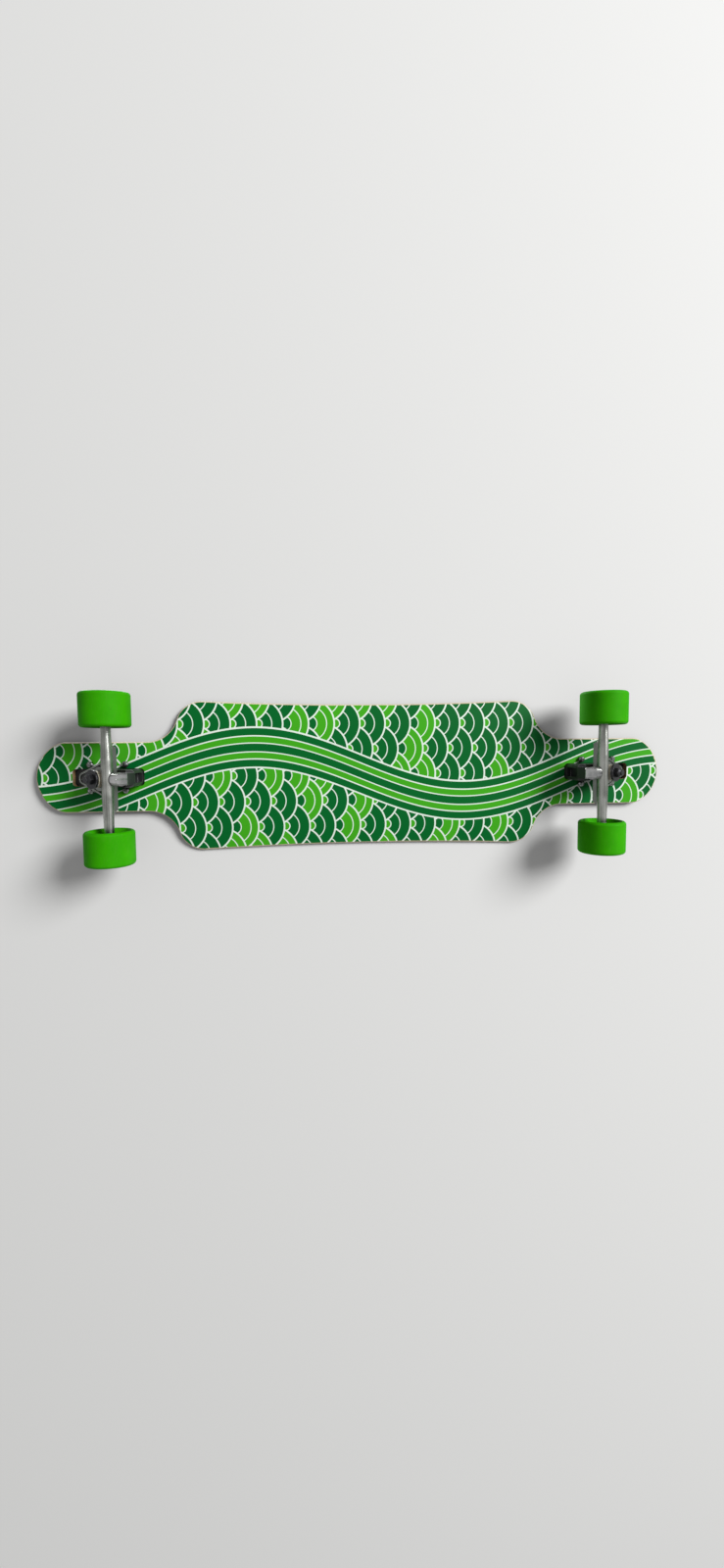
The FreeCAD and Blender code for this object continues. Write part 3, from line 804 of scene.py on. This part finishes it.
def moulded_core(spot):
    x, y, z = spot.axes()
    flow = grain(spot, core_flow, flow_detail)
    radius = out_from_axle(spot)
    turn = (z - axle_height).math("ARCTAN2", abs(x) - axle_distance) * (rib_count / (2 * math.pi))
    between = ease(turn.math("PINGPONG", 0.5), *rib_flank)
    past_inner = ease(radius, rib_inner, rib_inner + pocket_edge)
    past_outer = ease(radius, rib_outer - pocket_edge, rib_outer)
    pocket = between * past_inner * (1 - past_outer)
    # Painted shade: the pockets are painted darker, while the flow marks are real tone.
    return {"Base Color": mix(pocket * pocket_painted_shade + flow * flow_shade, core_green, core_shade),
            "Roughness": span(flow, *core_roughness),
            "Normal": relief(1 - pocket, pocket_depth, relief(flow, core_relief))}


dress(finish("moulded_core", {"Specular IOR Level": 0.3}, moulded_core),
      *[wheel + "_core" for wheel in wheels])

# Tyres
# Bright green cast urethane round the cores, satin on the sides and lips and slightly ground
# on the tread, where it takes on a little dust.
tyre_green = tone(54, 164, 0)
tyre_deep = tone(40, 142, 0)
tyre_dust = tone(104, 148, 60)
tread_skin = (axle_height - 1.2 * mm, axle_height - 0.3 * mm)
tyre_clouds = even(35)
deep_range = (0.3, 0.7)
deep_share = 0.4
tread_scratches = (700, 90, 700)
tread_dust_range = (0.5, 0.8)
tread_dust_share = 0.16
tyre_roughness = (0.46, 0.54)
tread_roughness = 0.2
cloud_relief = 0.15
tyre_relief = 0.05 * mm


def green_urethane(spot):
    tread = ease(out_from_axle(spot), *tread_skin)
    clouds = grain(spot, tyre_clouds, cloud_detail)
    scratches = grain(spot, tread_scratches)
    colour = mix(ease(clouds, *deep_range) * deep_share, tyre_green, tyre_deep)
    dust = tread * ease(scratches, *tread_dust_range) * tread_dust_share
    return {"Base Color": mix(dust, colour, tyre_dust),
            "Roughness": span(clouds, *tyre_roughness) + tread * scratches * tread_roughness,
            "Normal": relief(scratches * tread + clouds * cloud_relief, tyre_relief)}


tyre_glow = {"Specular IOR Level": 0.06, "Subsurface Weight": 0.1,
             "Subsurface Radius": (0.4, 1.0, 0.1), "Subsurface Scale": 3 * mm}
dress(finish("green_urethane", tyre_glow, green_urethane), *[wheel + "_tyre" for wheel in wheels])

# Floor and backdrop
# A pale floor under the wheels, seen only from above, and a pale sheet level with the grip tape,
# seen only from below, so that the board lies on it when it is looked at from underneath.
floor_pale = (0.78, 0.78, 0.77, 1.0)
floor_finish = {"Base Color": floor_pale, "Roughness": 0.9, "Specular IOR Level": 0.0}
backdrop_lift = 1.2 * mm
backdrop_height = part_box("grip_tape")[0].z + backdrop_lift
sheet_half = 4.0
fade_start = 1.4
fade_end = 3.8


def pale_sheet(name, height, faces_up):
    """A one-sided sheet that fades into the studio's own pale walls."""
    mesh = bpy.data.meshes.new(name)
    corners = [(-sheet_half, -sheet_half, height), (sheet_half, -sheet_half, height),
               (sheet_half, sheet_half, height), (-sheet_half, sheet_half, height)]
    mesh.from_pydata(corners, [], [(0, 1, 2, 3) if faces_up else (3, 2, 1, 0)])
    sheet = bpy.data.objects.new(name, mesh)
    bpy.context.scene.collection.objects.link(sheet)
    material = bpy.data.materials.new(name)
    material.use_nodes = True
    tree = material.node_tree
    shader = tree.nodes["Principled BSDF"]
    for socket, value in floor_finish.items():
        shader.inputs[socket].default_value = value
    start = Wire(tree)
    behind = start.add("NewGeometry", out="Backfacing")
    x, y, z = start.add("TexCoord", out="Object").axes()
    faded = ease((x * x + y * y).math("SQRT"), fade_start, fade_end)
    clear = start.add("BsdfTransparent")
    shown = start.add("MixShader", values={0: behind.math("MAXIMUM", faded),
                                           1: Wire(tree, shader.outputs[0]), 2: clear})
    tree.links.new(shown.socket, tree.nodes["Material Output"].inputs["Surface"])
    mesh.materials.append(material)
    for rays in ("shadow", "diffuse", "glossy", "transmission"):
        setattr(sheet, "visible_" + rays, False)


pale_sheet("floor", 0.0, True)
pale_sheet("backdrop", backdrop_height, False)

# Light
# Large soft lamps far above the board and, for the view from underneath, far below it too, in
# a studio with plain pale walls. The coloured board throws no tint on the sheets.


def lamp(name, place, width, watts):
    """A round lamp, so many metres wide, that points at the board."""
    light = bpy.data.lights.new(name, "AREA")
    light.shape = "DISK"
    light.size = width
    light.energy = watts
    holder = bpy.data.objects.new(name, light)
    holder.location = place
    holder.rotation_mode = "QUATERNION"
    holder.rotation_quaternion = (-Vector(place)).to_track_quat("-Z", "Y")
    bpy.context.scene.collection.objects.link(holder)


lamp("key_above", place=(-1.6, -2.4, 3.4), width=2.4, watts=145.0)
lamp("fill_above", place=(2.6, 1.8, 2.6), width=2.0, watts=30.0)
lamp("key_below", place=(5.4, -3.24, -4.86), width=3.6, watts=722.0)

walls_lit = (0.28, 0.28, 0.28, 1.0)
walls_seen = (0.52, 0.52, 0.515, 1.0)
world = bpy.data.worlds.new("studio")
bpy.context.scene.world = world
world.use_nodes = True
studio = Wire(world.node_tree)
seen = studio.add("LightPath", out="Is Camera Ray")
for kind in ("Is Glossy Ray", "Is Transmission Ray"):
    seen = seen.math("MAXIMUM", studio.add("LightPath", out=kind))
walls = mix(seen, walls_lit, walls_seen)
world.node_tree.links.new(walls.socket, world.node_tree.nodes["Background"].inputs["Color"])
bpy.context.scene.cycles.diffuse_bounces = 0

# Camera
# The photograph was taken from above the upturned board, a little towards its rear right, which
# in this frame is from under the ground, looking up.
picture_height = 1600
focal_pixels = 560
camera_place = Vector((-73.4, -42.1, -808.7)) * mm
camera_target = Vector((1.4, 16.3, 96.0)) * mm
camera_roll = math.radians(0.83)

lens = bpy.data.cameras.new("camera")
lens.sensor_width = 36.0
lens.lens = lens.sensor_width * focal_pixels / picture_height
lens.clip_start = 0.01
forward = (camera_target - camera_place).normalized()
right = Vector((1, 0, 0))
right = (right - forward * right.dot(forward)).normalized()
right = Matrix.Rotation(camera_roll, 3, forward) @ right
down = forward.cross(right)
camera = bpy.data.objects.new("camera", lens)
axes = Matrix((right, -down, -forward)).transposed().to_4x4()
camera.matrix_world = Matrix.Translation(camera_place) @ axes
bpy.context.scene.collection.objects.link(camera)
bpy.context.scene.camera = camera
bpy.context.scene.view_settings.view_transform = "Standard"
